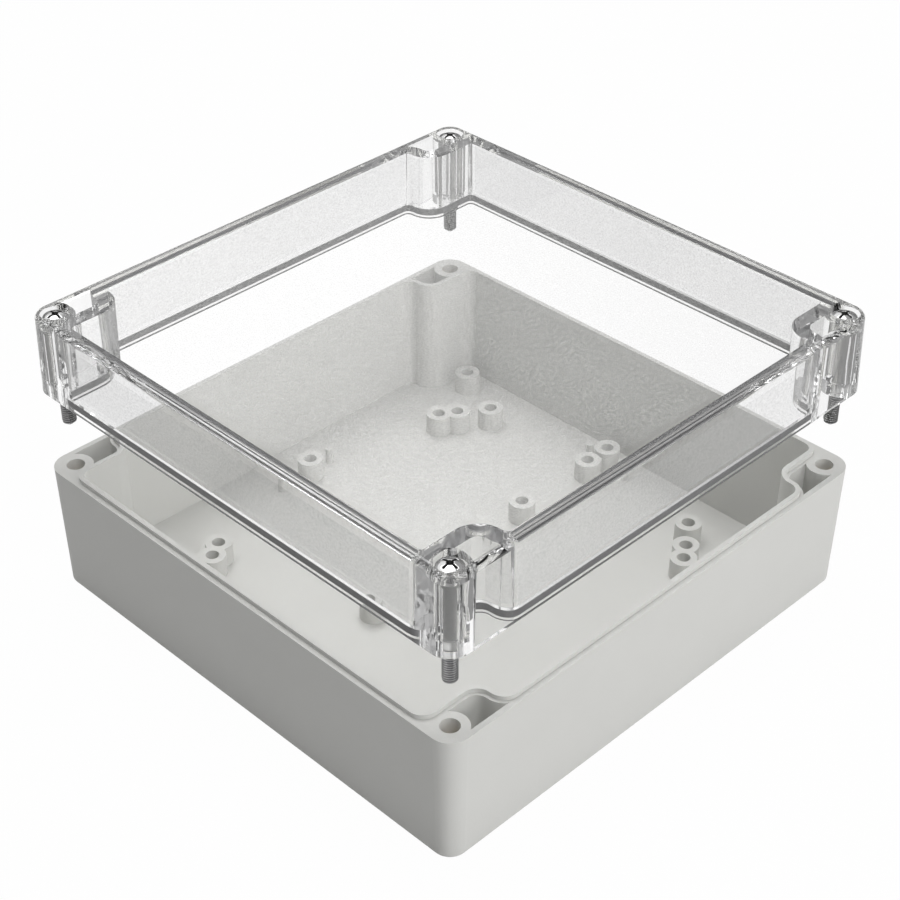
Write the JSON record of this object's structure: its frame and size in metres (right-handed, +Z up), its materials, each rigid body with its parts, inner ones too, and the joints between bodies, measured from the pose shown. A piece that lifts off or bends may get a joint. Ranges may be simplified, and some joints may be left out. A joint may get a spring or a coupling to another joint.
{
  "type": "sealed plastic enclosure",
  "caption": "Square moulded enclosure: grey tub with board pillars and corner pockets, and a clear lid with a gasket, lifted off on its captive corner screws.",
  "frame": {"origin": "centre of the base's underside", "axes": "+Z up out of the box; X along the pockets beside the lid screws, Y across"},
  "size_m": [0.16, 0.16, 0.0903],
  "materials": {
    "base": "light grey ABS, fine even mould texture",
    "lid": "clear polycarbonate, faint fine grain",
    "gasket": "dark grey soft foam cord",
    "steel": "bright plated steel",
    "brass": "turned brass"
  },
  "bodies": {
    "base": {"base": "base", "insert_front": "brass", "insert_right": "brass", "insert_back": "brass", "insert_left": "brass"},
    "lid": {"lid": "lid", "gasket": "gasket"},
    "screw_front": {"screw_front": "steel"},
    "screw_right": {"screw_right": "steel"},
    "screw_back": {"screw_back": "steel"},
    "screw_left": {"screw_left": "steel"}
  },
  "joints": [
    {"name": "lid_lift", "type": "slide", "parent": "base", "child": "lid", "axis": [0, 0, 1], "range_m": [-0.02628, 0]},
    {"name": "screw_front_turn", "type": "hinge", "parent": "lid", "child": "screw_front", "pos_m": [-0.074, -0.074, 0.0663], "axis": [0, 0, 1], "continuous": true},
    {"name": "screw_right_turn", "type": "hinge", "parent": "lid", "child": "screw_right", "pos_m": [0.074, -0.074, 0.0663], "axis": [0, 0, 1], "continuous": true},
    {"name": "screw_back_turn", "type": "hinge", "parent": "lid", "child": "screw_back", "pos_m": [0.074, 0.074, 0.0663], "axis": [0, 0, 1], "continuous": true},
    {"name": "screw_left_turn", "type": "hinge", "parent": "lid", "child": "screw_left", "pos_m": [-0.074, 0.074, 0.0663], "axis": [0, 0, 1], "continuous": true}
  ]
}
